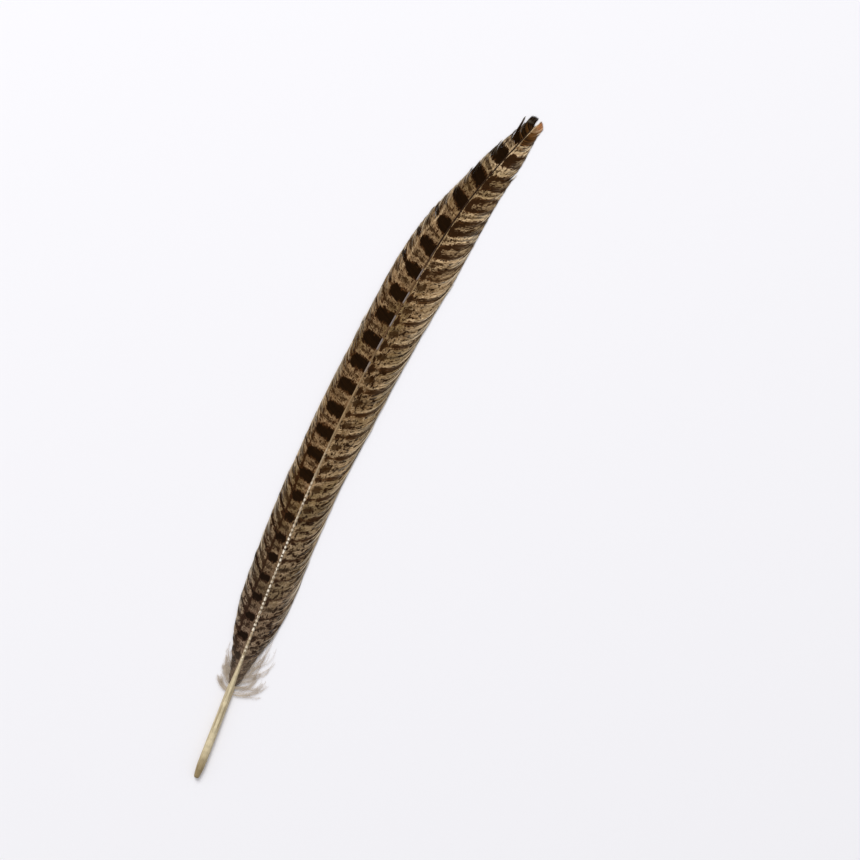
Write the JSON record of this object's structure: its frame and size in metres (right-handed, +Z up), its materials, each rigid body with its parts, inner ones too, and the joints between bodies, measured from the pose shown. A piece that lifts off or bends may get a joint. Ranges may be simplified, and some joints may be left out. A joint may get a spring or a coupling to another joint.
{
  "type": "pheasant tail feather",
  "caption": "Long barred tail feather with a bare quill, a tapered shaft, two vanes parted into locks and loose down at their foot, lying flat.",
  "frame": {"origin": "middle of the feather's outline seen from above, on the surface that it lies on", "axes": "+Y from the quill's end towards the tip, +Z up, out of the feather's upper side, +X towards its broader vane"},
  "size_m": [0.0316, 0.2821, 0.003],
  "materials": {
    "vane": "soft barred barbs with a faint satin sheen",
    "quill": "smooth pale horn, satin"
  },
  "bodies": {
    "root": {"feather": "vane"}
  },
  "joints": []
}
